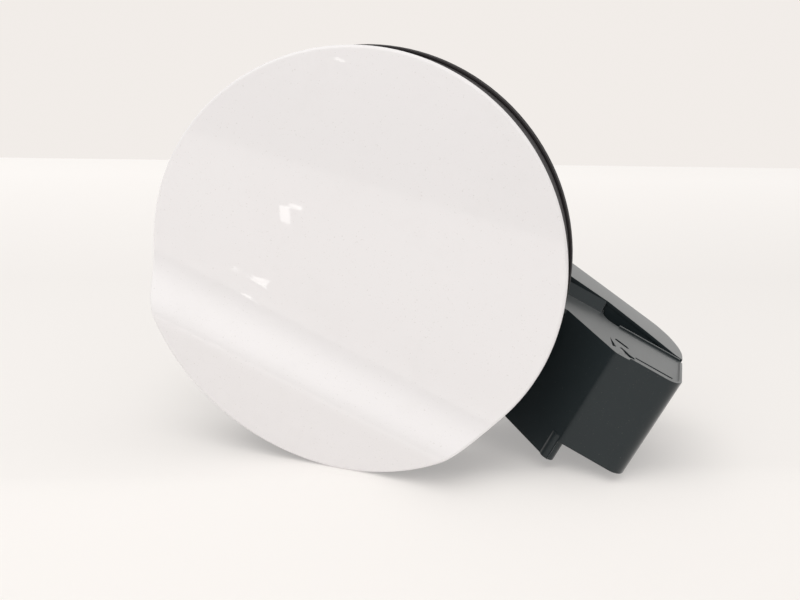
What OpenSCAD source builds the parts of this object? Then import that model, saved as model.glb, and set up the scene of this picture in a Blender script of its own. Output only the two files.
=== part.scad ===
// Round car fuel door on a gooseneck hinge. The painted panel is carried by a ribbed liner and a
// curved arm that swings out of a two-shell pocket. Origin: centre of the pocket's two fixing holes,
// on the flange face. X points from the filler bowl into the pocket, Y into the car, Z up, along the
// hinge axis. The panel faces -Y and is drawn closed.

/* [Door panel] */
// Diameter of the painted panel
door_d = 170; // [164:1:176]
// Thickness of the painted sheet
skin_t = 1.2; // [0.8:0.1:1.5]
// Width of the hem that is folded in behind the panel's edge
hem_w = 6; // [4:0.5:9]
// How far the panel's top and bottom curve back from its middle
panel_sag = 6.4; // [3:0.2:9]
// Distance of the style crease below the panel's centre
crease_drop = 54; // [48:1:60]
// Slope of the style crease across the panel, in degrees
crease_tilt = 3.5; // [0:0.5:8]
// How far the panel flares out at the crease
flare_h = 13.3; // [9:0.1:14]
// Height over which that flare fades out above the crease
flare_reach = 13; // [11:0.5:16]
// Lean of the panel below the crease, in degrees
lower_lean = 5; // [1:0.5:8]
// How far the panel's edge reaches past the flange face, along X
edge_past = 15; // [14:0.5:16]
// Distance from the panel's face to the fixing holes, along Y
door_setback = 55; // [54:0.5:58]
// Height of the panel's centre above the fixing holes' centre
door_rise = 10.8; // [6:0.2:14]

/* [Liner] */
// Gap between the panel's radius and the liner's rim
rim_inset = 2.1; // [1.8:0.1:3]
// Wall of the liner
liner_wall = 2.2; // [1.6:0.1:2.6]
// Depth of the liner's rim behind the panel's face
liner_depth = 31; // [28:0.5:31.5]
// Thickness of the liner's ribs
rib_t = 1.6; // [1.2:0.1:2.4]
// Depth of the ribs' rear edge behind the panel's face
rib_depth = 11; // [9.5:0.5:11.5]
// Radius of the round rib
ring_rib_r = 38; // [34:1:42]
// Number of straight ribs
rib_count = 12; // [8:2:16]
// Radius of the foam pad between the panel and the liner
pad_r = 64; // [50:1:70]

/* [Seal and buffers] */
// Depth of the seal's channel over the liner's rim
seal_grip = 5; // [4:0.5:7]
// Wall of the seal's channel
seal_wall = 0.9; // [0.7:0.1:1.1]
// Distance of the rubber buffers' centres from the inside of the liner's rim
buffer_inset = 12.2; // [11:0.2:14]
// Radius of a buffer
buffer_r = 4; // [3:0.5:5]
// Height of the buffers' sockets above the ribs
socket_h = 11; // [8:0.5:13]
// Height by which a buffer stands out of its socket
buffer_h = 11; // [9:0.5:13]

/* [Hinge and arm] */
// Distance of the hinge axis from the flange face
hinge_x = 42; // [41.5:0.5:43]
// Distance of the hinge axis in front of the fixing holes
hinge_front = 28; // [27.5:0.5:28.5]
// Radius of the hinge pin
pin_r = 2; // [1.5:0.1:2.4]
// Running gap between the pin and its bushes
pin_gap = 0.05; // [0.02:0.01:0.1]
// Gap between the arm and the pocket's roof or floor
arm_gap = 6.85; // [6.7:0.05:7.5]
// Middle radius of the arm's bend about the hinge axis
bend_r = 37; // [36.6:0.1:37.2]
// Thickness of the arm's bend
arm_t = 3.6; // [3:0.1:4]
// Angle of the arm's root about the hinge axis, from +X
root_angle = 60; // [58:0.5:61]
// Width of the arm's root
root_w = 5; // [4:0.5:5.5]
// Radius of the arm's knuckles
knuckle_r = 6.5; // [5.5:0.1:6.8]
// Wall of the knuckle bushes
bush_wall = 1.2; // [0.9:0.1:1.6]
// Thickness of the bushes' flanges
bush_flange = 1; // [0.8:0.1:1.1]
// Length of the arm's foot along X
foot_l = 24; // [22:0.5:26]
// Thickness of the arm's foot
foot_t = 3; // [2.5:0.1:3.5]
// Radius of the small screws' shanks
screw_r = 1.5; // [1.2:0.1:1.7]
// Radius of the small screws' heads
screw_head_r = 3; // [2.6:0.1:3.3]
// Height of the small screws' heads
screw_head_h = 2; // [1.5:0.1:2.4]

/* [Pocket shells] */
// Wall of both shells
shell_wall = 2.2; // [1.8:0.1:2.3]
// Height of the pocket's neck
neck_h = 55.5; // [54:0.5:58]
// How far the box's floor lies above the neck's floor
floor_step = 9.8; // [9:0.1:10]
// Distance of the box's far end from the flange face
box_end = 66.5; // [66:0.5:70]
// Distance of the box's front face in front of the fixing holes
face_front = 37; // [36.5:0.5:39]
// Distance of the front shell's lip in front of the fixing holes
lip_front = 3.5; // [3:0.1:4]
// Where the neck's slanted wall ends, from the flange face
neck_x = 13.7; // [13:0.1:14.4]
// Where the neck's slanted wall ends, in front of the fixing holes
neck_front = 18.6; // [18:0.1:19]
// Where the slanted wall meets the front face, from the flange face
ridge_x = 37.6; // [37:0.2:39]
// Rounding of that ridge
ridge_round = 4; // [3:0.5:6]
// Radius of the round post at the lower end of that ridge
post_r = 3.2; // [2.6:0.1:3.4]
// Rounding of the box's outer front corner
corner_round = 7; // [5:0.5:9]
// Distance of the joint between the shells behind the fixing holes
joint_back = 6.6; // [6:0.1:7]
// Radius of the rear shell's rounded end
end_round = 20; // [19:0.5:21]
// Slope of the rear shell's back wall, in degrees
back_slope = 8.5; // [6:0.5:10]
// Rise of the rear shell above the neck's roof at the flange
rear_rise = 7.2; // [5.5:0.1:8]
// Rise of the rear shell above the box's roof at its far end
end_rise = 0.8; // [0.5:0.1:2]
// Height of the ramp on the neck's roof
ramp_h = 4.2; // [3:0.1:5]
// Gap between parts that are fitted together
fit_gap = 0.2; // [0.15:0.01:0.25]
// Height of the beads along the roof's edges
bead_h = 0.8; // [0.5:0.1:1.2]
// Width of those beads
bead_w = 1.3; // [1:0.1:1.8]

/* [Fixing flange] */
// Thickness of the flange
flange_t = 2.5; // [2:0.1:3.5]
// Distance between the two fixing holes
fix_spacing = 78; // [76:1:84]
// Radius of the fixing holes
fix_r = 2.75; // [2.2:0.05:3.2]
// Radius of the ears around the fixing holes
ear_r = 6.5; // [5.5:0.5:8]
// Thickness of the gasket in front of the flange
gasket_t = 2; // [1.5:0.1:3]

/* [Spring and latch] */
// Radius of the torsion spring's wire
wire_r = 0.6; // [0.4:0.05:0.7]
// Turns of the torsion spring
spring_turns = 6; // [4:1:7]
// Length of the latch tongue behind the liner's ribs
tongue_l = 30; // [26:1:34]
// Height of the latch tongue
tongue_h = 16; // [14:1:22]
// Thickness of the latch tongue
tongue_t = 3; // [2.4:0.1:3.6]
// Length and height of the lock pin's window in the tongue
window_w = 9; // [6:0.5:10]
// Radius of the filler cap's neck that rests in the cap holder
cap_neck_r = 11; // [8:0.5:13]

/* [Hidden] */
$fn = 64;

// Door panel and liner, seen from the panel's centre
door_r = door_d / 2;
door_reach = door_r - edge_past;
crease_z = -crease_drop;
margin = 2;
lean = tan(lower_lean);
liner_r = door_r - rim_inset;
liner_front = 2 * skin_t + fit_gap;
liner_back = liner_front + liner_wall;
rim_in_r = liner_r - liner_wall;
hub_rib_r = ring_rib_r / 2;
buffer_ring_r = rim_in_r - buffer_inset;
rib_dip = 0.5;
rib_turn = 15;
boss_wall = 2.2;
socket_wall = 1.6;
stud_r = buffer_r - 1.5;
notch_d = 4;
edge_cut = 1;
lip_over = 1;
far = 80;
cut = 1;

// Shells, seen from the flange
roof_z = neck_h / 2;
neck_floor_z = -neck_h / 2;
box_floor_z = neck_floor_z + floor_step;
roof_in_z = roof_z - shell_wall;
floor_in_z = box_floor_z + shell_wall;
box_mid_z = (roof_z + box_floor_z) / 2;
hinge_y = -hinge_front;
front_y = -face_front;
lip_y = -lip_front;
step_x = ridge_x - 1;
slant = atan((face_front - neck_front) / (ridge_x - neck_x));
rear_y = joint_back + fit_gap;
shell_x0 = flange_t + fit_gap;
end_cx = box_end - end_round;
end_cy = lip_y + fit_gap + 4;
roof_cut_x = ridge_x - 3;
cut_left_x = roof_cut_x - 6;
flange_over = 5;
window_edge = 3;
bead_root = 0.5;
groove_t = 0.8;
groove_w = 1.1;
ramp_l = 4.8;
snap_h = 10;
snap_t = 1.2;
screw_seat_t = 2.4;
mouth_y = -(door_setback - liner_depth) + seal_grip / 2;
back_y0 = end_cy + end_round * cos(back_slope)
          + (end_cx + end_round * sin(back_slope)) * tan(back_slope);

// Arm and hinge stack along the axis
arm_w = roof_in_z - floor_in_z - 2 * arm_gap;
arm_z0 = box_mid_z - arm_w / 2;
arm_z1 = box_mid_z + arm_w / 2;
bend_in_r = bend_r - arm_t / 2;
bend_out_r = bend_r + arm_t / 2;
bend_angle = 181 - root_angle;
bush_in_r = pin_r + pin_gap;
bush_out_r = bush_in_r + bush_wall;
bush_fit = 0.02;
flange_r = knuckle_r - 1;
washer_t = 0.6;
stack_gap = 0.2;
foot_y = -door_setback + rib_depth + 1;
foot_x0 = hinge_x - bend_out_r - foot_l + arm_t;
foot_x1 = hinge_x - bend_in_r;
seat_gap = fit_gap / 2;
screw_l = 7.6;
screw_fit = 0.02;
rail_h = 2.4;
rail_t = 1.4;
rail_root = 0.5;
rail_short = 25;
foot_rib_l = 8;
foot_rib_h = 12;
screw_edge = 5;
heel_edge = 7;
stop_w = 16;
stop_l = 6;

// Spring and stop. The spring stands on the clip, between the knuckles
clip_t = 0.6;
clip_over = 2.2;
clip_mouth = 1.6;
spring_gap = 3;
pin_head_h = 1.5;
pin_head_over = 1.4;
pin_top_gap = 0.8;
coil_r = pin_r + 2.8;
coil_pitch = 2 * wire_r + 0.15;
coil_lift = stack_gap + clip_t + 2 * stack_gap + wire_r;
spring_room = coil_lift + coil_pitch * spring_turns + wire_r + 2 * stack_gap;
knuckle_l = (arm_w - spring_room) / 2;
coil_z0 = arm_z0 + knuckle_l + coil_lift;
stop_t = 3.2;

function arc_pts(cx, cy, r, a0, a1, n = 12) =
    [for (i = [0:n]) let (a = a0 + (a1 - a0) * i / n) [cx + r * cos(a), cy + r * sin(a)]];

function reversed(list) = [for (i = [len(list) - 1:-1:0]) list[i]];

// Depth of the panel's face at height w above its centre
function panel_y(w) =
    panel_sag * pow(w / door_r, 2)
    - (w >= crease_z ? flare_h * exp(-pow((w - crease_z) / flare_reach, 2))
                     : flare_h - lean * (crease_z - w));

lower_steps = 2;
upper_steps = 24;
low_end = -door_r - margin;
high_end = door_r + margin;
panel_w = concat(
    [for (i = [0:lower_steps]) low_end + (crease_z - low_end) * i / lower_steps],
    [for (i = [1:upper_steps]) crease_z + (high_end - crease_z) * pow(i / upper_steps, 1.5)]);

function panel_pts(offset_y) = [for (w = panel_w) [panel_y(w) + offset_y, w]];

// Stands a drawing of (Y, Z) points up and draws it out along X
module along_x(length) {
    translate([-length / 2, 0, 0]) rotate([90, 0, 90]) linear_extrude(length) children();
}

// Turns something drawn along Z so that it runs along Y
module along_y() {
    rotate([-90, 0, 0]) children();
}

module at_door() {
    translate([-door_reach, -door_setback, door_rise]) children();
}

module at_hinge(z = 0) {
    translate([hinge_x, hinge_y, z]) children();
}

// A layer that follows the panel's shape, between two depths behind its face
module panel_layer(front, back) {
    rotate([0, -crease_tilt, 0]) along_x(2 * high_end + margin)
        polygon(concat(panel_pts(front), reversed(panel_pts(back))));
}

// Everything from a depth behind the panel's face back to a flat plane
module behind_panel(front, plane_y) {
    rotate([0, -crease_tilt, 0]) along_x(2 * high_end + margin)
        polygon(concat(panel_pts(front), [[plane_y, high_end], [plane_y, low_end]]));
}

module disc_y(r, y0, y1) {
    translate([0, y0, 0]) along_y() cylinder(r = r, h = y1 - y0, $fn = 180);
}

module tube_y(r_out, r_in, y0, y1) {
    difference() {
        disc_y(r_out, y0, y1);
        disc_y(r_in, y0 - 1, y1 + 1);
    }
}

// Spots on the liner, as [x, z] from the panel's centre
arm_mid_z = box_mid_z - door_rise;
boss_xs = [foot_x0 + screw_edge + door_reach, foot_x1 - heel_edge + door_reach];
boss_zs = [arm_mid_z - arm_w / 2 + screw_edge, arm_mid_z + arm_w / 2 - screw_edge];
boss_spots = [for (x = boss_xs) for (z = boss_zs) [x, z]];
buffer_angles = [50, 130, 215];
buffer_spots = [for (a = buffer_angles) [buffer_ring_r * cos(a), buffer_ring_r * sin(a)]];
tongue_inset = 16;
tongue_x = -(rim_in_r - tongue_inset);
tongue_foot_l = 14;
tongue_foot_t = 2.4;
tongue_spot_l = 8;
tongue_spot_h = 3.5;
tongue_spots = [for (s = [-1, 1]) [tongue_x + tongue_spot_l, s * (tongue_h / 2 - tongue_spot_h)]];
window_end = 3;
cap_z = -27;
cap_h = 15;
cap_cheek = 4;
cap_half_w = cap_neck_r + cap_cheek;
cap_t = 2.4;
cap_depth = 12;
cap_dip = 5;
boss_r = screw_r + boss_wall;
seat_y = rib_depth + 1 - seat_gap;

module door_skin() {
    color("white") at_door() {
        intersection() {
            disc_y(door_r, -far, far);
            panel_layer(0, skin_t);
        }
        intersection() {
            tube_y(door_r, door_r - hem_w, -far, far);
            panel_layer(skin_t, 2 * skin_t);
        }
    }
}

module foam_pad() {
    color("dimgray") at_door() intersection() {
        disc_y(pad_r, -far, far);
        panel_layer(skin_t, liner_front);
    }
}

module liner_ribs() {
    tube_y(ring_rib_r + rib_t / 2, ring_rib_r - rib_t / 2, -far, rib_depth);
    tube_y(hub_rib_r + rib_t / 2, hub_rib_r - rib_t / 2, -far, rib_depth);
    for (i = [0:rib_count - 1])
        rotate([0, i * 360 / rib_count + rib_turn, 0])
            translate([hub_rib_r, -far, -rib_t / 2])
                cube([rim_in_r - hub_rib_r + liner_wall / 2, far + rib_depth - rib_dip, rib_t]);
}

module liner_bosses() {
    for (s = concat(boss_spots, tongue_spots)) translate([s[0], 0, s[1]]) disc_y(boss_r, -far, seat_y);
    for (s = buffer_spots)
        translate([s[0], 0, s[1]]) disc_y(buffer_r + socket_wall, -far, rib_depth + socket_h);
}

module door_liner() {
    color("#26262a") at_door() difference() {
        intersection() {
            disc_y(liner_r, -far, liner_depth);
            behind_panel(liner_front, liner_depth + margin);
        }
        difference() {
            intersection() {
                disc_y(rim_in_r, -far, far);
                behind_panel(liner_back, liner_depth + 2 * margin);
            }
            liner_ribs();
            liner_bosses();
        }
        for (s = concat(boss_spots, tongue_spots))
            translate([s[0], 0, s[1]]) disc_y(screw_r + screw_fit, seat_y - screw_l, seat_y + cut);
        for (s = buffer_spots)
            translate([s[0], 0, s[1]]) disc_y(stud_r, rib_depth, rib_depth + socket_h + cut);
        for (s = [-1, 1])
            translate([s * cap_half_w - cap_t / 2 - fit_gap, rib_depth - notch_d, cap_z - cap_h])
                cube([cap_t + 2 * fit_gap, far, cap_h]);
    }
}

module rim_seal() {
    lip_r = liner_r + lip_over;
    y_end = liner_depth + seal_wall;
    y_start = liner_depth - seal_grip;
    color("#1c1c1e") at_door() along_y() rotate_extrude($fn = 180) polygon([
        [rim_in_r - fit_gap - seal_wall, y_start + edge_cut],
        [rim_in_r - fit_gap, y_start + edge_cut],
        [rim_in_r - fit_gap, liner_depth + fit_gap / 2],
        [liner_r + fit_gap / 4, liner_depth + fit_gap / 2],
        [liner_r + fit_gap / 4, y_start],
        [lip_r - edge_cut / 2, y_start],
        [lip_r, y_start + edge_cut / 2],
        [lip_r, y_end - edge_cut],
        [lip_r - edge_cut, y_end],
        [rim_in_r - fit_gap - seal_wall, y_end]
    ]);
}

module edge_buffers() {
    socket_y = rib_depth + socket_h;
    color("#202020") at_door() for (s = buffer_spots) translate([s[0], 0, s[1]]) {
        disc_y(stud_r, rib_depth + seat_gap, socket_y + cut);
        disc_y(buffer_r, socket_y, socket_y + buffer_h - edge_cut);
        translate([0, socket_y + buffer_h - edge_cut, 0]) along_y()
            cylinder(r1 = buffer_r, r2 = buffer_r - edge_cut, h = edge_cut);
    }
}

// Flat tongue with a window for the lock pin, on a foot that is screwed to the liner
module latch_tongue() {
    y0 = rib_depth + 1;
    y1 = y0 + tongue_l;
    window_y = y1 - window_end - window_w;
    color("#2b2b2e") at_door() difference() {
        union() {
            translate([tongue_x, y0, -tongue_h / 2]) cube([tongue_foot_l, tongue_foot_t, tongue_h]);
            translate([tongue_x, y0, -tongue_h / 2]) cube([tongue_t, tongue_l, tongue_h]);
        }
        translate([tongue_x - cut, window_y, -window_w / 2])
            cube([tongue_t + 2 * cut, window_w, window_w]);
        for (s = tongue_spots)
            translate([s[0], 0, s[1]]) disc_y(screw_r + fit_gap, y0 - cut, y0 + tongue_foot_t + cut);
    }
}

// Screw with a cross recess, whose head lies on the depth that is given
module small_screw(seat) {
    cross_l = 1.2 * screw_head_r;
    cross_w = 0.7;
    disc_y(screw_r, seat - screw_l + fit_gap, seat);
    translate([0, seat, 0]) along_y() difference() {
        cylinder(r1 = screw_head_r, r2 = screw_head_r * 0.8, h = screw_head_h);
        translate([0, 0, screw_head_h / 2]) for (a = [0, 90])
            rotate(a) translate([-cross_l / 2, -cross_w / 2, 0]) cube([cross_l, cross_w, screw_head_h]);
    }
}

module tongue_screws() {
    color("silver") at_door() for (s = tongue_spots)
        translate([s[0], 0, s[1]]) small_screw(rib_depth + 1 + tongue_foot_t);
}

// Open cradle for the filler cap. Its two arms are pushed into notches in the round rib
module cap_holder() {
    y0 = rib_depth - notch_d + fit_gap;
    color("#2b2b2e") at_door() {
        for (s = [-1, 1]) translate([s * cap_half_w - cap_t / 2, y0, cap_z - cap_h + fit_gap])
            cube([cap_t, cap_depth, cap_h - 2 * fit_gap]);
        difference() {
            translate([-cap_half_w - cap_t / 2, y0 + cap_depth - cap_t, cap_z - cap_h + fit_gap])
                cube([2 * cap_half_w + cap_t, cap_t, cap_h - 2 * fit_gap]);
            translate([0, 0, cap_z + cap_neck_r - cap_dip]) disc_y(cap_neck_r, 0, far);
        }
    }
}

module hinge_arm() {
    z_mid = arm_w - 2 * knuckle_l;
    color("#2a2b2d") difference() {
        union() {
            for (z = [arm_z0, arm_z1 - knuckle_l]) at_hinge(z) cylinder(r = knuckle_r, h = knuckle_l);
            at_hinge(arm_z0) rotate(root_angle) translate([pin_r + 2, -root_w / 2, 0])
                cube([bend_r - pin_r - 2, root_w, arm_w]);
            at_hinge(arm_z0) rotate(root_angle)
                rotate_extrude(angle = bend_angle, $fn = 96) translate([bend_in_r, 0])
                    square([arm_t, arm_w]);
            for (z = [arm_z0, arm_z1 - rail_h]) at_hinge(z) rotate(root_angle)
                rotate_extrude(angle = bend_angle - rail_short, $fn = 96)
                    translate([bend_in_r - rail_t, 0]) square([rail_t + rail_root, rail_h]);
            translate([hinge_x - bend_out_r, foot_y, arm_z0])
                cube([arm_t, hinge_y - foot_y, arm_w]);
            translate([foot_x0, foot_y, arm_z0]) cube([foot_x1 - foot_x0, foot_t, arm_w]);
            for (z = [arm_z0, box_mid_z - rib_t / 2, arm_z1 - rib_t])
                translate([hinge_x - bend_out_r, foot_y, z]) mirror([1, 0, 0]) linear_extrude(rib_t)
                    polygon([[-cut, 0], [foot_rib_l, 0], [foot_rib_l, foot_t], [0, foot_rib_h],
                             [-cut, foot_rib_h]]);
        }
        at_hinge(arm_z0 - cut) cylinder(r = bush_out_r + bush_fit, h = arm_w + 2 * cut);
        at_hinge(arm_z0 + knuckle_l) cylinder(r = knuckle_r + spring_gap, h = z_mid);
        at_door() for (s = boss_spots)
            translate([s[0], 0, s[1]]) disc_y(screw_r + fit_gap, rib_depth, rib_depth + foot_rib_h);
    }
}

module arm_screws() {
    color("silver") at_door() for (s = boss_spots)
        translate([s[0], 0, s[1]]) small_screw(rib_depth + 1 + foot_t);
}

module bush() {
    difference() {
        union() {
            cylinder(r = bush_out_r, h = knuckle_l);
            translate([0, 0, -bush_flange]) cylinder(r = flange_r, h = bush_flange);
        }
        translate([0, 0, -bush_flange - cut])
            cylinder(r = bush_in_r, h = knuckle_l + bush_flange + 2 * cut);
    }
}

module upper_bush() {
    color("ivory") at_hinge(arm_z1) mirror([0, 0, 1]) bush();
}

module lower_bush() {
    color("ivory") at_hinge(arm_z0) bush();
}

// Outer line of the front shell's wall, moved inwards by o, from the neck to the lip
function wall_line(o) = concat(
    [[neck_x + o * sin(slant), -neck_front + o * cos(slant)]],
    arc_pts(ridge_x + ridge_round * tan(slant / 2), front_y + ridge_round, ridge_round - o,
            270 - slant, 270, 8),
    arc_pts(box_end - corner_round, front_y + corner_round, corner_round - o, 270, 360, 10),
    [[box_end - o, lip_y]]);

// Hollow side of the roof's cut, from the shells' joint to the lip
cut_r = 7;
cut_curve = arc_pts(cut_left_x + cut_r, lip_y + cut_r, cut_r, 180, 260, 8);

module wall_strip(t) {
    polygon(concat(wall_line(0), reversed(wall_line(t))));
}

module roof_shape() {
    polygon(concat([[0, mouth_y]], wall_line(0), [[roof_cut_x, lip_y]],
                   reversed(cut_curve), [[cut_left_x, joint_back], [0, joint_back]]));
}

module floor_shape() {
    polygon(concat([[0, mouth_y]], wall_line(0), [[step_x, lip_y], [step_x, joint_back],
                   [0, joint_back]]));
}

shell_boss_r = boss_r + 0.2;
shell_boss_l = 12;
joint_screw_z = neck_floor_z + shell_wall + boss_r - 0.8;
lower_screw_spots = [for (x = [flange_t + 6.5, step_x - 8.6]) [x, joint_screw_z]];
post_x = step_x - 0.6;
post_y = front_y + post_r + 1.2;

// The window in which the arm swings, from one place along X to another
module flange_window(x0, x1) {
    translate([x0, mouth_y + window_edge, neck_floor_z + shell_wall])
        cube([x1 - x0, back_y0 - mouth_y - window_edge - shell_wall, neck_h - 2 * shell_wall]);
}

module flange_frame() {
    difference() {
        union() {
            translate([0, mouth_y, neck_floor_z - flange_over])
                cube([flange_t, back_y0 - mouth_y, neck_h + 2 * flange_over]);
            for (s = [-1, 1]) flange_ear(s);
        }
        flange_window(-cut, flange_t + cut);
        for (s = [-1, 1]) translate([-cut, 0, s * fix_spacing / 2]) rotate([0, 90, 0])
            cylinder(r = fix_r, h = flange_t + 2 * cut);
    }
}

module flange_ear(side) {
    translate([0, 0, side * fix_spacing / 2]) rotate([0, 90, 0]) cylinder(r = ear_r, h = flange_t);
    translate([0, -ear_r, side > 0 ? roof_z : -fix_spacing / 2])
        cube([flange_t, 2 * ear_r, fix_spacing / 2 - neck_h / 2]);
}

module front_shell() {
    seat_z = arm_z1 + bush_flange + stack_gap;
    floor_seat_z = arm_z0 - bush_flange - washer_t - stack_gap;
    color("#2f3336") difference() {
        union() {
            difference() {
                translate([0, 0, neck_floor_z]) linear_extrude(neck_h) wall_strip(shell_wall);
                translate([step_x, front_y - cut, neck_floor_z - cut])
                    cube([box_end, far, floor_step + cut]);
            }
            translate([0, 0, roof_in_z]) linear_extrude(shell_wall) roof_shape();
            intersection() {
                translate([0, 0, neck_floor_z]) linear_extrude(shell_wall) floor_shape();
                translate([-cut, front_y, neck_floor_z - cut]) cube([step_x + cut, far, far]);
            }
            intersection() {
                translate([0, 0, box_floor_z]) linear_extrude(shell_wall) floor_shape();
                translate([step_x - shell_wall, front_y, neck_floor_z]) cube([far, far, far]);
            }
            intersection() {
                translate([0, 0, neck_floor_z]) linear_extrude(floor_step + shell_wall) floor_shape();
                translate([step_x - shell_wall, front_y, neck_floor_z - cut])
                    cube([shell_wall, far, far]);
            }
            along_x_between(0, cut_left_x - 1) polygon([
                [joint_back - ramp_l, roof_in_z + cut], [joint_back - ramp_l, roof_z],
                [joint_back, roof_z + ramp_h], [joint_back, roof_in_z + cut]]);
            at_hinge(seat_z) cylinder(r = flange_r, h = roof_in_z + cut - seat_z);
            at_hinge(box_floor_z) cylinder(r = flange_r, h = floor_seat_z - box_floor_z);
            for (s = lower_screw_spots) translate([s[0], 0, s[1]])
                disc_y(shell_boss_r, -shell_boss_l, joint_back);
            flange_frame();
            translate([post_x, post_y, neck_floor_z])
                cylinder(r = post_r, h = floor_step + shell_wall);
            translate([step_x - shell_wall, post_y, neck_floor_z])
                cube([shell_wall, lip_y - post_y, floor_step]);
            translate([roof_cut_x + 2, lip_y - bead_w, roof_z - bead_root])
                cube([box_end - roof_cut_x - 3, bead_w, bead_h + bead_root]);
            front_bead();
        }
        at_hinge(box_floor_z - cut)
            cylinder(r = pin_r + screw_fit, h = roof_z - pin_top_gap + seat_gap - box_floor_z + cut);
        for (s = lower_screw_spots) translate([s[0], 0, s[1]])
            disc_y(screw_r + screw_fit, joint_back - screw_l, joint_back + cut);
        snap_cuts();
    }
}

module along_x_between(x0, x1) {
    translate([x0, 0, 0]) rotate([90, 0, 90]) linear_extrude(x1 - x0) children();
}

// Low bead along the roof's front edge, with a gap beside the springy tab
module front_bead() {
    translate([0, 0, roof_z - bead_root]) linear_extrude(bead_h + bead_root) difference() {
        wall_strip(bead_w);
        translate([-cut, front_y - cut]) square([ridge_x + 7, far]);
        translate([-cut, lip_y - 4]) square([box_end + 2 * cut, far]);
    }
}

// Slots that free a springy tab in the roof, and the groove behind the front edge
module snap_cuts() {
    translate([hinge_x, hinge_y, roof_in_z - 1]) linear_extrude(shell_wall + 2 * cut + bead_h) {
        polygon([[-8, 4.8], [-6.4, -2.6], [-5, -1.8]]);
        polygon([[-5.2, 7.4], [-0.4, 5.2], [0.4, 4.2], [0.2, 3.6], [-0.6, 3.6], [-5.4, 5.8],
                 [-6, 6.6], [-5.8, 7.2]]);
        polygon([[-2.6, 0.6], [1.6, -3], [3.4, -3.6], [3.6, -5], [1.4, -5.4], [-0.8, -3.6],
                 [-1.6, -1.6], [-3.4, -0.4]]);
    }
    translate([hinge_x + 4, front_y + 6, roof_z - groove_t])
        cube([box_end - hinge_x - 8, groove_w, groove_t + cut]);
}

// Outer end and back of the rear shell's plan, moved inwards by o
function rear_back(o) = concat(
    arc_pts(end_cx, end_cy, end_round - o, 0, 90 - back_slope, 16),
    [[shell_x0, back_y0 - o / cos(back_slope) - shell_x0 * tan(back_slope)]]);

// Edge of the rear shell's plan that faces the front shell
rear_edge = [[shell_x0, rear_y], [cut_left_x, rear_y], [end_cx + 2, lip_y + 5.2],
             [box_end - 4, lip_y + 0.6], [box_end, lip_y + fit_gap]];

module rear_side_shape(o) {
    polygon([[-1, roof_z + rear_rise - o], [box_end, roof_z + end_rise - o],
             [box_end, box_floor_z - end_rise + o], [step_x + o, box_floor_z - 2 + o],
             [step_x + o, neck_floor_z - 3 + o], [-1, neck_floor_z - 5 + o]]);
}

module rear_solid() {
    intersection() {
        translate([0, 0, -far]) linear_extrude(2 * far) polygon(concat(rear_edge, rear_back(0)));
        translate([0, far, 0]) rotate([90, 0, 0]) linear_extrude(2 * far) rear_side_shape(0);
    }
}

module rear_hollow() {
    intersection() {
        translate([0, 0, -far]) linear_extrude(2 * far)
            polygon(concat([[shell_x0 - 1, lip_y - 9], [box_end - shell_wall, lip_y - 9]],
                           rear_back(shell_wall), [[shell_x0 - 1, back_y0 - shell_wall - 1]]));
        translate([0, far, 0]) rotate([90, 0, 0]) linear_extrude(2 * far)
            rear_side_shape(shell_wall);
    }
}

// The rear shell has a flat catch that reaches behind the front shell's end wall
module rear_shell() {
    snap_x = box_end - shell_wall - fit_gap - snap_t;
    color("#3a3d40") difference() {
        union() {
            difference() {
                rear_solid();
                rear_hollow();
            }
            intersection() {
                rear_solid();
                for (s = lower_screw_spots) translate([s[0], 0, s[1]])
                    disc_y(shell_boss_r + 0.4, rear_y, far);
            }
            translate([snap_x, lip_y - 6, box_mid_z - snap_h / 2]) cube([snap_t, 10, snap_h]);
            translate([snap_x, lip_y + 2, box_mid_z - snap_h / 2]) cube([3, 2, snap_h]);
        }
        for (s = lower_screw_spots) translate([s[0], 0, s[1]]) {
            disc_y(screw_r + fit_gap, rear_y - cut, far);
            disc_y(screw_head_r + fit_gap, rear_y + screw_seat_t, far);
        }
    }
}

module shell_screws() {
    color("silver") for (s = lower_screw_spots)
        translate([s[0], 0, s[1]]) small_screw(rear_y + screw_seat_t);
}

module mouth_gasket() {
    over = flange_over - 1;
    color("#3c3c3c") difference() {
        translate([-gasket_t, mouth_y + 1, neck_floor_z - over])
            cube([gasket_t, back_y0 - mouth_y - 2, neck_h + 2 * over]);
        flange_window(-gasket_t - cut, cut);
    }
}

module hinge_pin() {
    color("silver") {
        at_hinge(box_floor_z - pin_head_h)
            cylinder(r1 = pin_r + pin_head_over, r2 = pin_r + pin_head_over + 0.4, h = pin_head_h);
        at_hinge(box_floor_z - cut)
            cylinder(r = pin_r, h = roof_z - pin_top_gap - box_floor_z + cut);
    }
}

module pin_clip() {
    color("silver") at_hinge(arm_z0 + knuckle_l + stack_gap) difference() {
        cylinder(r = pin_r + clip_over, h = clip_t);
        translate([0, 0, -cut]) cylinder(r = pin_r + screw_fit, h = clip_t + 2 * cut);
        translate([0, -clip_mouth / 2, -cut])
            cube([pin_r + clip_over + cut, clip_mouth, clip_t + 2 * cut]);
    }
}

module wave_washer() {
    color("gray") at_hinge(arm_z0 - bush_flange - washer_t) difference() {
        cylinder(r = flange_r - 0.5, h = washer_t - screw_fit);
        translate([0, 0, -cut]) cylinder(r = bush_in_r, h = washer_t + 2 * cut);
    }
}

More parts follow.
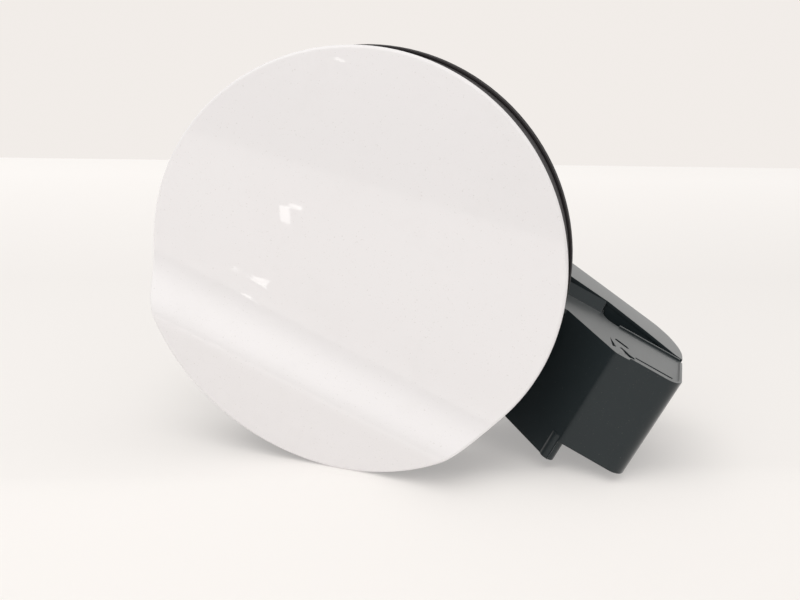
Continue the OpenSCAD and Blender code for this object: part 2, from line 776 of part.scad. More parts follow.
// Points along the spring's wire, seen from the hinge axis: a leg that lies on the front wall, the
// turns, a small bend and a leg that lies on the arm's root
leg_gap = 0.1;
front_leg = [13.5, front_y + shell_wall - hinge_y + wire_r + leg_gap];
coil_a0 = atan2(front_leg[1], front_leg[0]) - acos(coil_r / norm(front_leg));
leg_v = -(root_w / 2 + wire_r + leg_gap);
leg_bend_r = 1.5;
leg_bend_u = sqrt(pow(coil_r + leg_bend_r, 2) - pow(leg_v + leg_bend_r, 2));
leg_a = atan2(leg_v + leg_bend_r, leg_bend_u);
leg_end_u = 15;
coil_sweep = 360 * spring_turns + coil_a0 - root_angle - leg_a;
coil_steps = 18 * spring_turns;
coil_top = coil_z0 + coil_pitch * coil_sweep / 360;

function turned(u, v, z) = [u * cos(root_angle) - v * sin(root_angle),
                            u * sin(root_angle) + v * cos(root_angle), z];

spring_path = concat(
    [[front_leg[0], front_leg[1], coil_z0]],
    [for (i = [0:coil_steps]) let (t = i / coil_steps, a = coil_a0 - coil_sweep * t)
        [coil_r * cos(a), coil_r * sin(a), coil_z0 + (coil_top - coil_z0) * t]],
    [for (i = [1:4]) let (a = 180 + leg_a + (90 - leg_a) * i / 4)
        turned(leg_bend_u + leg_bend_r * cos(a), leg_v + leg_bend_r + leg_bend_r * sin(a),
               coil_top)],
    [turned(leg_end_u, leg_v, coil_top)]);
wire_sides = 8;

function unit(v) = v / norm(v);
function tangent(path, i) = unit(path[min(i + 1, len(path) - 1)] - path[max(i - 1, 0)]);
function wire_ring(path, i) =
    let (t = tangent(path, i), side = unit(cross([0, 0, 1], t)), up = cross(t, side))
    [for (k = [0:wire_sides - 1])
        path[i] + wire_r * (cos(k * 360 / wire_sides) * side + sin(k * 360 / wire_sides) * up)];

module torsion_spring() {
    n = len(spring_path);
    points = [for (i = [0:n - 1]) each wire_ring(spring_path, i)];
    sides = [for (i = [0:n - 2]) for (k = [0:wire_sides - 1])
        [i * wire_sides + k, i * wire_sides + (k + 1) % wire_sides,
         (i + 1) * wire_sides + (k + 1) % wire_sides, (i + 1) * wire_sides + k]];
    ends = [[for (k = [wire_sides - 1:-1:0]) k],
            [for (k = [0:wire_sides - 1]) (n - 1) * wire_sides + k]];
    color("silver") at_hinge() polyhedron(points = points, faces = concat(sides, ends));
}

// Rubber pad that stops the arm's root when the door stands open
module open_stop() {
    color("#202020")
        translate([neck_x + shell_wall * sin(slant), -neck_front + shell_wall * cos(slant), 0])
        rotate(-slant) translate([0.5, seat_gap / 2, box_mid_z - stop_w / 2])
            cube([stop_l, stop_t, stop_w]);
}

door_skin();
foam_pad();
door_liner();
rim_seal();
edge_buffers();
latch_tongue();
tongue_screws();
cap_holder();
hinge_arm();
arm_screws();
upper_bush();
lower_bush();
front_shell();
rear_shell();
shell_screws();
mouth_gasket();
hinge_pin();
pin_clip();
wave_washer();
torsion_spring();
open_stop();
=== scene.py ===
"""Round car fuel door with its hinge pocket, dressed for the picture.

Places in the room are in metres. A piece's own sizes are in millimetres and multiplied by MM.
"""
import math
import bpy
import bmesh
from mathutils import Matrix, Vector


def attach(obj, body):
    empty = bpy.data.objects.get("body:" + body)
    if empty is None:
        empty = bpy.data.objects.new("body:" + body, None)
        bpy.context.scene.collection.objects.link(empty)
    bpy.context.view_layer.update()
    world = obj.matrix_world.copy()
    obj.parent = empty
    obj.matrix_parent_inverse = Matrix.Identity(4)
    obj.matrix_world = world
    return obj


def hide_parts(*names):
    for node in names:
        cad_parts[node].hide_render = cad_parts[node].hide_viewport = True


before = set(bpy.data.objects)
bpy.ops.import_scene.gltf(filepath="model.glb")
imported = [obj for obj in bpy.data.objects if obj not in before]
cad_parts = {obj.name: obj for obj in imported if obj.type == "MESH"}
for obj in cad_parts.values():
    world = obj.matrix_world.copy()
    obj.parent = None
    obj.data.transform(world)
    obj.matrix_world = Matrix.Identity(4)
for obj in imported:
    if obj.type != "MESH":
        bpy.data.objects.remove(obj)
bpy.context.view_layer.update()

# Camera. It stands where the photograph was taken from: in front of the painted panel, a little to
# the pocket's side, with the door lying back on its lower rim.
camera_place = Vector((-0.01064, -0.45731, 0.16238))
picture_right = Vector((0.8664, 0.2437, 0.4358))
picture_up = Vector((-0.4923, 0.2716, 0.8269))
picture_back = picture_right.cross(picture_up).normalized()
picture_up = picture_back.cross(picture_right).normalized()
sensor_mm, lens_mm = 36, 49.5
camera_data = bpy.data.cameras.new("camera")
camera_data.sensor_width, camera_data.lens = sensor_mm, lens_mm
camera_data.clip_start, camera_data.clip_end = 0.01, 20
camera = bpy.data.objects.new("camera", camera_data)
turn = Matrix((picture_right, picture_up, picture_back)).transposed().to_4x4()
camera.matrix_world = Matrix.Translation(camera_place) @ turn
scene = bpy.context.scene
scene.collection.objects.link(camera)
scene.camera = camera
scene.view_settings.view_transform = "Standard"


# Light. A bright room with white walls and a white table: a soft sky all round, a wide window high
# in front and a little to the left, and a faint white card in front. In mirrors the side of the
# room behind the camera is darker.
class Field:
    """A socket that can be used in Python sums, each of which adds a Math node."""

    def __init__(self, maker, socket):
        self.maker, self.socket = maker, socket

    def _sum(self, operation, a, b):
        return self.maker.node("ShaderNodeMath", {"operation": operation}, {0: a, 1: b})

    def __add__(self, other):
        return self._sum("ADD", self, other)

    __radd__ = __add__

    def __sub__(self, other):
        return self._sum("SUBTRACT", self, other)

    def __rsub__(self, other):
        return self._sum("SUBTRACT", other, self)

    def __mul__(self, other):
        return self._sum("MULTIPLY", self, other)

    __rmul__ = __mul__

    def __truediv__(self, other):
        return self._sum("DIVIDE", self, other)

    def __rtruediv__(self, other):
        return self._sum("DIVIDE", other, self)

    def __or__(self, other):
        return self._sum("MAXIMUM", self, other)

    __ror__ = __or__


class NodeMaker:
    """Adds nodes to one tree; node() makes any of them and feeds its sockets."""

    def __init__(self, tree):
        self.tree = tree

    def feed(self, socket, value):
        if isinstance(value, Field):
            self.tree.links.new(value.socket, socket)
        else:
            socket.default_value = value

    def node(self, kind, settings=None, inputs=None, out=0):
        made = self.tree.nodes.new(kind)
        for name, value in (settings or {}).items():
            setattr(made, name, value)
        for name, value in (inputs or {}).items():
            self.feed(made.inputs[name], value)
        return Field(self, made.outputs[out]) if len(made.outputs) else None

    def mix(self, mask, a, b):
        return self.node("ShaderNodeMix", {"data_type": "RGBA"}, {0: mask, 6: a, 7: b}, out=2)

    def noise(self, where, scale, detail, rough=0.5):
        return self.node("ShaderNodeTexNoise", None,
                         {"Vector": where, "Scale": scale, "Detail": detail, "Roughness": rough})

    def ramp(self, value, low, high):
        return self.node("ShaderNodeMapRange", None, {0: value, 1: low, 2: high, 3: 0.0, 4: 1.0})

    def dot(self, where, direction):
        return self.node("ShaderNodeVectorMath", {"operation": "DOT_PRODUCT"},
                         {0: where, 1: direction}, out="Value")


# The part lies back on the door's lower rim and the pocket's lower corner, so the table's own
# upright is tilted against the part's.
lean_back, lean_aside = math.radians(16), math.radians(1.75)
table_up = (picture_up * math.cos(lean_back) + picture_back * math.sin(lean_back)
            + picture_right * math.sin(lean_aside)).normalized()

room_white = (1.0, 0.985, 0.965, 1)
wall_white = (0.885, 0.845, 0.812, 1)
lamp_white = (1.0, 0.985, 0.96)
sky_least, sky_gain = 0.58, 0.08
mirror_least, mirror_gain = 0.15, 0.82

world = bpy.data.worlds.new("room")
scene.world = world
world.use_nodes = True
world.node_tree.nodes.clear()
room = NodeMaker(world.node_tree)
way = room.node("ShaderNodeTexCoord", out="Generated")


def looking(direction, low, high):
    """0 for rays that look away from a direction of the room, 1 for those along it."""
    return room.ramp(room.dot(way, direction), low, high)


overhead = looking(table_up, low=-0.2, high=0.9)
sky = room.node("ShaderNodeBackground", None, {
    "Color": room_white, "Strength": overhead * sky_gain + sky_least})
behind_camera = looking(picture_back, low=-0.25, high=0.35)
bright_side = looking(table_up, low=0.0, high=0.7) | (1 - behind_camera)
mirror_sky = room.node("ShaderNodeBackground", None, {
    "Color": room_white, "Strength": bright_side * mirror_gain + mirror_least})
wall = room.node("ShaderNodeBackground", None, {"Color": wall_white, "Strength": 1.0})
rays = {name: room.node("ShaderNodeLightPath", out="Is %s Ray" % name)
        for name in ("Camera", "Glossy", "Transmission")}
lit = room.node("ShaderNodeMixShader", None,
                {0: rays["Glossy"] | rays["Transmission"], 1: sky, 2: mirror_sky})
seen = room.node("ShaderNodeMixShader", None, {0: rays["Camera"], 1: lit, 2: wall})
room.node("ShaderNodeOutputWorld", None, {"Surface": seen})


def soft_lamp(name, place, aim, size, power, upright=table_up, mirrored=True):
    """A rectangular lamp that faces a point. The camera never sees it, but mirrors may."""
    data = bpy.data.lights.new(name, "AREA")
    data.shape = "RECTANGLE"
    data.size, data.size_y = size
    data.energy, data.color = power, lamp_white
    lamp = bpy.data.objects.new(name, data)
    back = (Vector(place) - Vector(aim)).normalized()
    side = upright.cross(back).normalized()
    turned = Matrix((side, back.cross(side), back)).transposed().to_4x4()
    lamp.matrix_world = Matrix.Translation(place) @ turned
    lamp.visible_camera = False
    lamp.visible_glossy = mirrored
    scene.collection.objects.link(lamp)


door_middle = Vector((-0.070, -0.055, 0.0108))
window_way = (table_up * 0.85 + Vector((-0.15, -0.50, 0.0))).normalized()
window_away = 2.0
card_offset = Vector((0.35, -1.05, 0.15))
soft_lamp("window", door_middle + window_way * window_away, door_middle, size=(1.9, 1.3),
          power=20.0, mirrored=False)
soft_lamp("card", door_middle + card_offset, door_middle, size=(1.0, 1.0), power=0.3,
          mirrored=False)

# Table. A white board, on which the part lies. Its far edge ends in front of the wall, and its near
# part falls away gently, which leaves room for the opened door. The board glows faintly, like a
# photographer's light table: the glow is painted light, which lifts and softens the part's shadow.
photo_width, photo_height = 800, 600
far_edge_left, far_edge_right = (0, 157.5), (photo_width, 168.5)
fall_pixel = (390, 470)
fall_depth, fall_length, fall_steps = 0.06, 0.09, 24
board_half_width, board_near_part = 2.2, 1.6
board_white = (0.600, 0.582, 0.568, 1)
glow_white = (1.0, 0.975, 0.955)
glow_near, glow_far = 0.335, 0.455
# The glow grows towards the far edge, between these two distances from it: painted light that
# brightens the far part of the board.
glow_grows_from, glow_grows_to = 0.5, 0.1


def lowest(names):
    """How high the lowest point of some CAD nodes lies, along the table's upright."""
    return min(table_up.dot(v.co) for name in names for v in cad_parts[name].data.vertices)


def new_piece(name, form, smooth=True):
    mesh = bpy.data.meshes.new(name)
    form.to_mesh(mesh)
    form.free()
    piece = bpy.data.objects.new(name, mesh)
    scene.collection.objects.link(piece)
    if smooth:
        mesh.shade_smooth()
    return piece


table_level = lowest(["door_skin", "rim_seal", "front_shell", "rear_shell"])


def on_table(x, y):
    """The point of the table that is seen at a place of the picture, in its pixels."""
    pixel = sensor_mm / photo_width
    ray = (picture_right * (x - photo_width / 2) * pixel
           - picture_up * (y - photo_height / 2) * pixel - picture_back * lens_mm)
    return camera_place + ray * ((table_level - table_up.dot(camera_place)) / table_up.dot(ray))


far_left, far_right = on_table(*far_edge_left), on_table(*far_edge_right)
table_x = (far_right - far_left).normalized()
table_y = table_up.cross(table_x)
table_mid = (far_left + far_right) / 2
fall_from = (on_table(*fall_pixel) - table_mid).dot(table_y)
stations = [0.0] + [fall_from - fall_length * i / fall_steps for i in range(fall_steps + 1)]
stations.append(fall_from - board_near_part)
board_form = bmesh.new()
board_rows = []
for along in stations:
    past = min(1.0, max(0.0, (fall_from - along) / fall_length))
    drop = fall_depth * past * past * (3 - 2 * past)
    middle = table_mid + table_y * along - table_up * drop
    board_rows.append([board_form.verts.new(middle + table_x * side)
                       for side in (-board_half_width, board_half_width)])
for far, near in zip(board_rows, board_rows[1:]):
    board_form.faces.new((near[0], near[1], far[1], far[0]))
board_form.normal_update()
table = new_piece("table_top", board_form)

table_paint = bpy.data.materials.new("white_table")
table_paint.use_nodes = True
table_paint.node_tree.nodes.clear()
board = NodeMaker(table_paint.node_tree)
along_board = board.dot(board.node("ShaderNodeTexCoord", out="Object"), table_y)
far_along = table_mid.dot(table_y)
far_share = board.ramp(along_board, far_along - glow_grows_from, far_along - glow_grows_to)
near_light, far_light = ([level * part for part in glow_white] + [1]
                         for level in (glow_near, glow_far))
# Painted light: the board's glow lifts the shadows on it and brightens its far part.
glow = board.node("ShaderNodeEmission", None,
                  {"Color": board.mix(far_share, near_light, far_light), "Strength": 1.0})
white = board.node("ShaderNodeBsdfDiffuse", None, {"Color": board_white})
top = board.node("ShaderNodeAddShader", None, {0: white, 1: glow})
below = board.node("ShaderNodeBsdfTransparent")
underside = board.node("ShaderNodeNewGeometry", out="Backfacing")
sided = board.node("ShaderNodeMixShader", None, {0: underside, 1: top, 2: below})
board.node("ShaderNodeOutputMaterial", None, {"Surface": sided})
table.data.materials.append(table_paint)

# Painted panel. Pressed steel sheet with its edge hemmed round, filled, primed and painted white
# under a clear coat. A crease runs across it low down, where it follows the line of the car's side.
MM = 0.001
panel_r = 85.0
sheet = 1.2
dome_depth = 6.4
crease_w, crease_depth, crease_spread = -54.0, 13.3, 13.0
crease_tilt = math.radians(3.5)
flare_slope = math.tan(math.radians(5))
hem_bend = [(1.2, 0.0), (0.75, 0.07), (0.35, 0.3), (0.08, 0.72)]
hem_width = 6.1
rows_below, rows_above, columns = 26, 100, 84
pole_half_width = 0.01
panel_merge_gap = 0.0001
paint_shade, paint_light = (0.850, 0.832, 0.842, 1), (0.875, 0.857, 0.867, 1)
smear_tint, dust_tint = (0.78, 0.76, 0.76, 1), (0.55, 0.53, 0.50, 1)


def shader(name, **sockets):
    """A material with a Principled shader, and the maker that adds detail to it."""
    material = bpy.data.materials.new(name)
    material.use_nodes = True
    made = NodeMaker(material.node_tree)
    made.material = material
    made.body = material.node_tree.nodes["Principled BSDF"]
    made.here = made.node("ShaderNodeTexCoord", out="Object")
    set_on(made, **sockets)
    return made


def set_on(made, **sockets):
    for socket, value in sockets.items():
        made.feed(made.body.inputs[socket.replace("_", " ")], value)


def bump(made, height, strength, distance):
    return made.node("ShaderNodeBump", None,
                     {"Strength": strength, "Distance": distance, "Height": height})


def panel_depth(w):
    """Depth of the panel's face at height w above its middle."""
    domed = dome_depth * (w / panel_r) ** 2
    if w >= crease_w:
        return domed - crease_depth * math.exp(-((w - crease_w) / crease_spread) ** 2)
    return domed - crease_depth + flare_slope * (crease_w - w)


def panel_point(u, w, depth):
    """A point of the panel in the part's frame, u along the crease and w across it."""
    x = u * math.cos(crease_tilt) - w * math.sin(crease_tilt)
    z = u * math.sin(crease_tilt) + w * math.cos(crease_tilt)
    return door_middle + Vector((x, panel_depth(w) + depth, z)) * MM


# The hem runs round a bend, back along the sheet and in to it again, as insets and depths.
hem = hem_bend + [(0.0, sheet)] + [(inset, 2 * sheet - depth) for inset, depth in hem_bend[::-1]]
hem += [(hem_width - 2.6, 2 * sheet), (hem_width - 0.5, 2 * sheet),
        (hem_width - 0.1, 2 * sheet - 0.2), (hem_width, 2 * sheet - 0.7),
        (hem_width - 0.1, sheet + 0.02)]
quarter = math.pi / 2
crease_turn = math.asin(crease_w / (panel_r - hem[0][0]))
row_turns = [-quarter + (crease_turn + quarter) * i / rows_below for i in range(rows_below)]
row_turns += [crease_turn + (quarter - crease_turn) * (i / rows_above)
              for i in range(rows_above + 1)]
panel_form = bmesh.new()


def disc_grid(radius, depth, flip):
    """One side of the sheet as rows across the crease; gives its outline, anticlockwise."""
    grid = []
    for turned in row_turns:
        w = radius * math.sin(turned)
        half = radius * math.cos(turned)
        if half < pole_half_width:
            grid.append([panel_form.verts.new(panel_point(0, w, depth))])
        else:
            places = [half * math.sin(quarter * (2 * c / columns - 1)) for c in range(columns + 1)]
            grid.append([panel_form.verts.new(panel_point(u, w, depth)) for u in places])
    for low, high in zip(grid, grid[1:]):
        for c in range(columns):
            corners = [low[min(c, len(low) - 1)], low[min(c + 1, len(low) - 1)],
                       high[min(c + 1, len(high) - 1)], high[min(c, len(high) - 1)]]
            corners = [v for i, v in enumerate(corners) if v not in corners[:i]]
            panel_form.faces.new(corners[::-1] if flip else corners)
    right = [row[-1] for row in grid]
    left = [row[0] for row in grid[1:-1]]
    return right + left[::-1]


def rim_ring(inset, depth):
    """A ring of points inside the panel's outline, in step with disc_grid's outline."""
    radius = panel_r - inset
    right = [(radius * math.cos(turned), radius * math.sin(turned)) for turned in row_turns]
    left = [(-u, w) for u, w in right[1:-1]]
    return [panel_form.verts.new(panel_point(u, w, depth)) for u, w in right + left[::-1]]


front = disc_grid(panel_r - hem[0][0], hem[0][1], flip=False)
rings = [front] + [rim_ring(*point) for point in hem[1:-1]]
rings.append(disc_grid(panel_r - hem[-1][0], hem[-1][1], flip=True))
for outer, inner in zip(rings, rings[1:]):
    for i in range(len(outer)):
        j = (i + 1) % len(outer)
        panel_form.faces.new((outer[i], inner[i], inner[j], outer[j]))
bmesh.ops.remove_doubles(panel_form, verts=panel_form.verts, dist=panel_merge_gap * MM)
bmesh.ops.recalc_face_normals(panel_form, faces=panel_form.faces)
panel = new_piece("painted_panel", panel_form)


def glint(u, w, away, width, height, radiance, lean=0.0):
    """A small lamp, away metres off, that the camera sees mirrored at a place of the panel."""
    place = panel_point(u, w, 0)
    across = panel_point(u + 1, w, 0) - place
    upward = panel_point(u, w + 1, 0) - place
    facing = across.cross(upward).normalized()
    sight = (place - camera_place).normalized()
    back_way = sight - facing * 2 * sight.dot(facing)
    upright = upward.normalized() + across.normalized() * lean
    power = radiance * math.pi * width * height * MM * MM
    soft_lamp("glint", place + back_way * away, place, (width * MM, height * MM), power,
              upright=upright)


glint(u=-32.4, w=7.3, away=0.30, width=7.0, height=17.0, radiance=4.0, lean=-0.25)
glint(u=-29.5, w=12.0, away=0.30, width=9.0, height=5.0, radiance=4.0, lean=-0.2)
glint(u=-38.5, w=-23.0, away=0.14, width=26.0, height=1.0, radiance=4.0)
glint(u=-36.0, w=-24.7, away=0.14, width=22.0, height=0.8, radiance=3.0, lean=0.15)
glint(u=-35.5, w=71.0, away=0.30, width=6.0, height=3.0, radiance=4.0)

paint = shader("white_paint", IOR=1.5, Coat_Weight=0.9, Coat_Roughness=0.02)
broad = paint.noise(paint.here, scale=14.0, detail=2.0)
film = paint.noise(paint.here, scale=55.0, detail=4.0, rough=0.6)
dust = paint.ramp(paint.noise(paint.here, scale=1500.0, detail=1.0), low=0.70, high=0.76)
smears = paint.noise(paint.here, scale=38.0, detail=5.0, rough=0.7)
smear = paint.ramp(smears, low=0.55, high=0.75)
colour = paint.mix(broad, paint_shade, paint_light)
colour = paint.mix(smear * 0.2, colour, smear_tint)
colour = paint.mix(dust * 0.35, colour, dust_tint)
orange_peel = paint.noise(paint.here, scale=420.0, detail=2.0)
peel = bump(paint, orange_peel, strength=0.05, distance=0.0004)
set_on(paint, Base_Color=colour, Roughness=film * 0.18 + 0.24 + smear * 0.1, Normal=peel)
panel.data.materials.append(paint.material)
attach(panel, "door")
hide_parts("door_skin")

# Foam pad and mouth gasket. Black closed-cell foam, cut from sheet. The pad is stuck between the
# panel and the liner against rattle, and the gasket seals the pocket's flange to the car's body.
cell_dark, cell_pale = (0.012, 0.012, 0.012, 1), (0.05, 0.05, 0.052, 1)
foam = shader("black_foam", Roughness=0.9)
cells = foam.node("ShaderNodeTexVoronoi", None, {"Vector": foam.here, "Scale": 1400.0})
set_on(foam, Base_Color=foam.mix(cells, cell_dark, cell_pale),
       Normal=bump(foam, cells, strength=0.6, distance=0.0004))
for name in ("foam_pad", "mouth_gasket"):
    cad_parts[name].material_slots[0].material = foam.material

# Liner. One injection moulding in black plastic: a web behind the panel, ribs, screw bosses and a
# deep rim. Its edges are slightly rounded, as the mould's are.
liner_dark, liner_pale = (0.014, 0.011, 0.013, 1), (0.020, 0.016, 0.018, 1)
grain_scale, grain_depth, speck_scale = 2600.0, 0.12, 1900.0
speck_tint = (0.25, 0.24, 0.22, 1)
merge_gap = 0.002
flat_bend, leftover_bend = math.radians(0.6), math.radians(0.1)
rounded_bend, sharp_bend = math.radians(28), math.radians(35)


def settled(piece):
    """Turns what a piece's modifiers give into its plain mesh, and removes them."""
    evaluated = piece.evaluated_get(bpy.context.evaluated_depsgraph_get())
    piece.data = bpy.data.meshes.new_from_object(evaluated)
    piece.modifiers.clear()


def softened(node, name, body, finish, width, steps=2, shortest=0.0):
    """A merged copy of a moulded CAD piece, with its edges rounded, which takes its place.

    Edges that are no longer than shortest stay sharp.
    """
    form = bmesh.new()
    form.from_mesh(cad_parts[node].data)
    bmesh.ops.remove_doubles(form, verts=form.verts, dist=merge_gap * MM)
    bmesh.ops.dissolve_limit(form, angle_limit=flat_bend, verts=form.verts, edges=form.edges)
    bmesh.ops.triangulate(form, faces=[face for face in form.faces if len(face.verts) > 4])
    rounded = form.edges.layers.float.new("bevel_weight_edge")
    for edge in form.edges:
        bent = len(edge.link_faces) == 2 and edge.calc_face_angle() > rounded_bend
        edge[rounded] = float(bent and edge.calc_length() > shortest * MM)
    piece = new_piece(name, form, smooth=False)
    rounding = piece.modifiers.new("rounding", "BEVEL")
    rounding.width = width * MM
    rounding.segments = steps
    rounding.limit_method = "WEIGHT"
    rounding.use_clamp_overlap = False
    settled(piece)
    piece.data.materials.clear()
    piece.data.materials.append(finish.material)
    form = bmesh.new()
    form.from_mesh(piece.data)
    bmesh.ops.dissolve_limit(form, angle_limit=leftover_bend, verts=form.verts, edges=form.edges)
    for edge in form.edges:
        edge.smooth = len(edge.link_faces) == 2 and edge.calc_face_angle() < sharp_bend
    for face in form.faces:
        face.smooth = True
    form.to_mesh(piece.data)
    form.free()
    flatten = piece.modifiers.new("flat_faces", "WEIGHTED_NORMAL")
    flatten.keep_sharp = True
    flatten.weight = 100
    settled(piece)
    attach(piece, body)
    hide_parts(node)


def moulded(name, dark, pale, gloss, grain=0.1, IOR=1.45, **sockets):
    """A moulded plastic with a fine spark-eroded grain, a cloudy sheen and a little dust."""
    made = shader(name, IOR=IOR, **sockets)
    cloud = made.noise(made.here, scale=30.0, detail=4.0, rough=0.6)
    spark = made.noise(made.here, scale=grain_scale, detail=2.0)
    specks = made.ramp(made.noise(made.here, scale=speck_scale, detail=1.0), low=0.71, high=0.77)
    tone = made.mix(cloud, dark, pale)
    set_on(made, Base_Color=made.mix(specks * 0.15, tone, speck_tint),
           Roughness=cloud * 0.16 + gloss,
           Normal=bump(made, spark, strength=grain, distance=grain_depth * MM))
    return made


liner_plastic = moulded("liner_plastic", liner_dark, liner_pale, gloss=0.5, IOR=1.33)
softened("door_liner", "ribbed_liner", "door", liner_plastic, width=0.2)

# Rim seal. A soft rubber channel pushed over the liner's rim; its outer lip closes the gap round
# the door. Its matt skin is slightly cloudy, with fine pores.
rubber_dark, rubber_pale = (0.014, 0.012, 0.013, 1), (0.026, 0.023, 0.024, 1)
rubber = shader("black_rubber", IOR=1.28)
bloom = rubber.noise(rubber.here, scale=60.0, detail=5.0, rough=0.65)
pores = rubber.noise(rubber.here, scale=3000.0, detail=2.0)
set_on(rubber, Base_Color=rubber.mix(bloom, rubber_dark, rubber_pale),
       Roughness=bloom * 0.25 + 0.55,
       Normal=bump(rubber, pores, strength=0.3, distance=0.0001))
softened("rim_seal", "rim_seal_rubber", "door", rubber, width=0.25, steps=3)

# Edge buffers. Three studs of the same rubber, pressed into the liner's sockets. The closed door
# rests on them, and they keep its painted edge off the car's body.
softened("edge_buffers", "buffer_studs", "door", rubber, width=0.6, steps=3)

# Latch tongue and cap holder. Two small mouldings in the harder black plastic of the arm: one takes
# the car's lock pin through its window, the other holds the filler cap while the tank is filled.
black_dark, black_pale = (0.017, 0.017, 0.018, 1), (0.028, 0.028, 0.029, 1)
black_plastic = moulded("black_plastic", black_dark, black_pale, gloss=0.34)
softened("latch_tongue", "lock_tongue", "door", black_plastic, width=0.5)
softened("cap_holder", "cap_cradle", "door", black_plastic, width=0.5)

# Hinge arm. A glass-filled moulding bent round the hinge axis, with rails along its bend and two
# knuckles for the pin's bushes.
softened("hinge_arm", "gooseneck_arm", "door", black_plastic, width=0.15)

# Pocket shells and open stop. Two dark grey mouldings screwed together, which hold the pin and hide
# the arm. A rubber pad on the front shell's inner wall stops the arm's root when the door is open.
shell_dark, shell_pale = (0.016, 0.022, 0.025, 1), (0.022, 0.030, 0.033, 1)
shell_plastic = moulded("shell_plastic", shell_dark, shell_pale, gloss=0.24, grain=0.05,
                        IOR=1.24, Sheen_Weight=0.5, Sheen_Roughness=0.3, Coat_Weight=1.0,
                        Coat_Roughness=0.3, Coat_IOR=1.25)
softened("front_shell", "pocket_front", "housing", shell_plastic, width=0.25)
softened("rear_shell", "pocket_rear", "housing", shell_plastic, width=0.25,
         shortest=1.2)
softened("open_stop", "stop_pad", "housing", rubber, width=0.5, steps=3)

# Inner skirt. A thin wall moulded in one with the rear shell. It hangs from the sloping roof, behind
# the front shell's upper edge, and closes the slot over the arm. Its top is sunk in the roof.
skirt_line = [(25.6, 6.8), (28.6, 6.8), (48.5, 1.7), (62.5, -2.9), (65.3, -3.2)]
skirt_low, skirt_wall = 19.9, 1.6
roof_start_x, roof_end_x = -1.0, 66.5
roof_start_z, roof_end_z = 32.7, 26.4
roof_overlap = 0.8
skirt_form = bmesh.new()
bands = []
for x, y in skirt_line:
    roof_share = (x - roof_start_x) / (roof_end_x - roof_start_x)
    high = roof_start_z + (roof_end_z - roof_start_z) * roof_share + roof_overlap
    section = ((0, skirt_low), (skirt_wall, skirt_low), (skirt_wall, high), (0, high))
    bands.append([skirt_form.verts.new((x * MM, (y + back) * MM, z * MM)) for back, z in section])
for first, second in zip(bands, bands[1:]):
    for i in range(4):
        j = (i + 1) % 4
        skirt_form.faces.new((first[i], first[j], second[j], second[i]))
skirt_form.faces.new(bands[0])
skirt_form.faces.new(bands[-1][::-1])
bmesh.ops.recalc_face_normals(skirt_form, faces=skirt_form.faces)
skirt = new_piece("inner_skirt", skirt_form, smooth=False)
skirt.data.materials.append(shell_plastic.material)
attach(skirt, "housing")

# Pin, clip, washer and spring. Steel with a slightly cloudy zinc plating: a turned pin, a stamped
# clip and wave washer on it, and a spring coiled from round wire.
zinc_dark, zinc_pale = (0.50, 0.50, 0.49, 1), (0.68, 0.68, 0.66, 1)
zinc = shader("zinc_plate", Metallic=1.0)
plating = zinc.noise(zinc.here, scale=240.0, detail=4.0, rough=0.6)
set_on(zinc, Base_Color=zinc.mix(plating, zinc_dark, zinc_pale), Roughness=plating * 0.25 + 0.25,
       Normal=bump(zinc, plating, strength=0.1, distance=0.0001))
for name in ("hinge_pin", "pin_clip", "wave_washer", "torsion_spring"):
    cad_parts[name].material_slots[0].material = zinc.material

# Screws. Pan-head screws with a cross recess, cold-formed from wire, rolled and zinc-plated. Four
# hold the arm and two the tongue to the liner's bosses, and two hold the pocket's shells together.
# Under their sizes come shares of these sizes, and counts of sides.
screw_sizes = {"Head radius": 3.0, "Head height": 2.0, "Shank radius": 1.5, "Shank length": 7.4,
               "Thread pitch": 0.9}
crown_rise, crown_top, crown_foot = 0.45, 0.78, 0.97
recess_width, recess_length = 0.22, 1.15
core_r, ridge_middle_r, ridge_r = 0.82, 0.86, 0.14
threaded_part = 0.9
head_sides, shank_sides, ridge_sides = 40, 24, 6


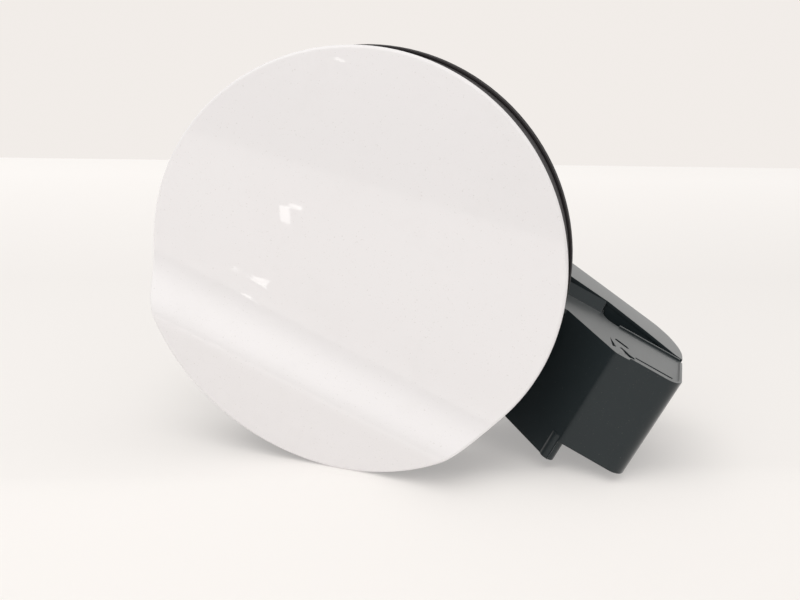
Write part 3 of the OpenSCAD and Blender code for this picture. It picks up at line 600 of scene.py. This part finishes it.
def screw_tree():
    """A node tree that puts a screw with its head's top on every point of a mesh, along +Y."""
    tree = bpy.data.node_groups.new("cross_head_screws", "GeometryNodeTree")
    tree.interface.new_socket("Geometry", in_out="OUTPUT", socket_type="NodeSocketGeometry")
    tree.interface.new_socket("Geometry", in_out="INPUT", socket_type="NodeSocketGeometry")
    sockets = {}
    for size in screw_sizes:
        socket = tree.interface.new_socket(size, in_out="INPUT", socket_type="NodeSocketFloat")
        sockets[size] = socket.identifier
    made = NodeMaker(tree)
    points = made.node("NodeGroupInput", out="Geometry")
    head_radius, head_height, shank_radius, shank_length, pitch = (
        made.node("NodeGroupInput", out=size) for size in screw_sizes)

    def join(*parts):
        joined = made.node("GeometryNodeJoinGeometry")
        for part in reversed(parts):
            made.feed(joined.socket.node.inputs[0], part)
        return joined

    def lift(part, z):
        where = made.node("ShaderNodeCombineXYZ", None, {"Z": z})
        return made.node("GeometryNodeTransform", None, {"Geometry": part, "Translation": where})

    def cone(top_radius, foot_radius, height):
        return made.node("GeometryNodeMeshCone", {"fill_type": "NGON"}, {
            "Vertices": head_sides, "Radius Top": top_radius, "Radius Bottom": foot_radius,
            "Depth": height})

    def block(x, y, z):
        size = made.node("ShaderNodeCombineXYZ", None, {"X": x, "Y": y, "Z": z})
        return made.node("GeometryNodeMeshCube", None, {"Size": size})

    def circle(sides, radius):
        return made.node("GeometryNodeCurvePrimitiveCircle", {"mode": "RADIUS"}, {
            "Resolution": sides, "Radius": radius})

    crown_height = head_height * crown_rise
    crown = cone(head_radius * crown_top, head_radius * crown_foot, crown_height)
    flank = cone(head_radius * crown_foot, head_radius, head_height - crown_height)
    stacked = join(lift(crown, crown_height * -1), lift(flank, head_height * -1))
    blank = made.node("GeometryNodeMeshBoolean", {"operation": "UNION", "solver": "EXACT"}, {
        "Mesh 2": stacked})
    blade_width, blade_length = head_radius * recess_width, head_radius * recess_length
    recess = join(block(blade_width, blade_length, head_height),
                  block(blade_length, blade_width, head_height))
    head = made.node("GeometryNodeMeshBoolean", {"operation": "DIFFERENCE", "solver": "EXACT"}, {
        "Mesh 1": blank, "Mesh 2": recess})
    core = made.node("GeometryNodeMeshCylinder", {"fill_type": "NGON"}, {
        "Vertices": shank_sides, "Radius": shank_radius * core_r, "Depth": shank_length})
    core = lift(core, shank_length * -0.5 - head_height)
    ridge = made.node("GeometryNodeCurveToMesh", None, {
        "Curve": circle(shank_sides, shank_radius * ridge_middle_r),
        "Profile Curve": circle(ridge_sides, shank_radius * ridge_r)})
    count = made.node("FunctionNodeFloatToInt", {"rounding_mode": "FLOOR"}, {
        0: shank_length * threaded_part / pitch})
    step = made.node("ShaderNodeCombineXYZ", None, {"Z": pitch * -1})
    line = made.node("GeometryNodeMeshLine", {"mode": "OFFSET"}, {"Count": count, "Offset": step})
    thread = made.node("GeometryNodeInstanceOnPoints", None, {"Points": line, "Instance": ridge})
    thread = lift(thread, pitch * -1 - head_height)
    seated = made.node("GeometryNodeInstanceOnPoints", None, {
        "Points": points, "Instance": join(head, core, thread), "Rotation": (-quarter, 0.0, 0.0)})
    real = made.node("GeometryNodeRealizeInstances", None, {"Geometry": seated})
    plated = made.node("GeometryNodeSetMaterial", None, {
        "Geometry": real, "Material": zinc.material})
    made.node("NodeGroupOutput", None, {"Geometry": plated})
    return tree, sockets


def screw_tops(node):
    """The middle of each screw's head top, from the CAD node's own separate solids."""
    form = bmesh.new()
    form.from_mesh(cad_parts[node].data)
    bmesh.ops.remove_doubles(form, verts=form.verts, dist=merge_gap * MM)
    left, tops = set(form.verts), []
    while left:
        island, fresh = set(), [min(left, key=lambda v: v.index)]
        while fresh:
            vert = fresh.pop()
            if vert in left:
                left.remove(vert)
                island.add(vert)
                fresh += [edge.other_vert(vert) for edge in vert.link_edges]
        spans = [[v.co[i] for v in island] for i in range(3)]
        tops.append(((min(spans[0]) + max(spans[0])) / 2, max(spans[1]),
                     (min(spans[2]) + max(spans[2])) / 2))
    form.free()
    return tops


screws, screw_sockets = screw_tree()
for name, body, nodes in (("door_screws", "door", ("arm_screws", "tongue_screws")),
                          ("pocket_screws", "housing", ("shell_screws",))):
    tops_form = bmesh.new()
    for node in nodes:
        for spot in screw_tops(node):
            tops_form.verts.new(spot)
    piece = new_piece(name, tops_form, smooth=False)
    maker = piece.modifiers.new("screws", "NODES")
    maker.node_group = screws
    for size, value in screw_sizes.items():
        maker[screw_sockets[size]] = value * MM
    settled(piece)
    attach(piece, body)
    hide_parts(*nodes)

# Bushes. Two flanged sleeves moulded in pale acetal plastic, pressed into the arm's knuckles. The
# opening door turns them on the pin.
acetal_shade, acetal_light = (0.70, 0.67, 0.58, 1), (0.78, 0.75, 0.66, 1)
acetal = moulded("pale_acetal", acetal_shade, acetal_light, gloss=0.35)
for name in ("upper_bush", "lower_bush"):
    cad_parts[name].material_slots[0].material = acetal.material
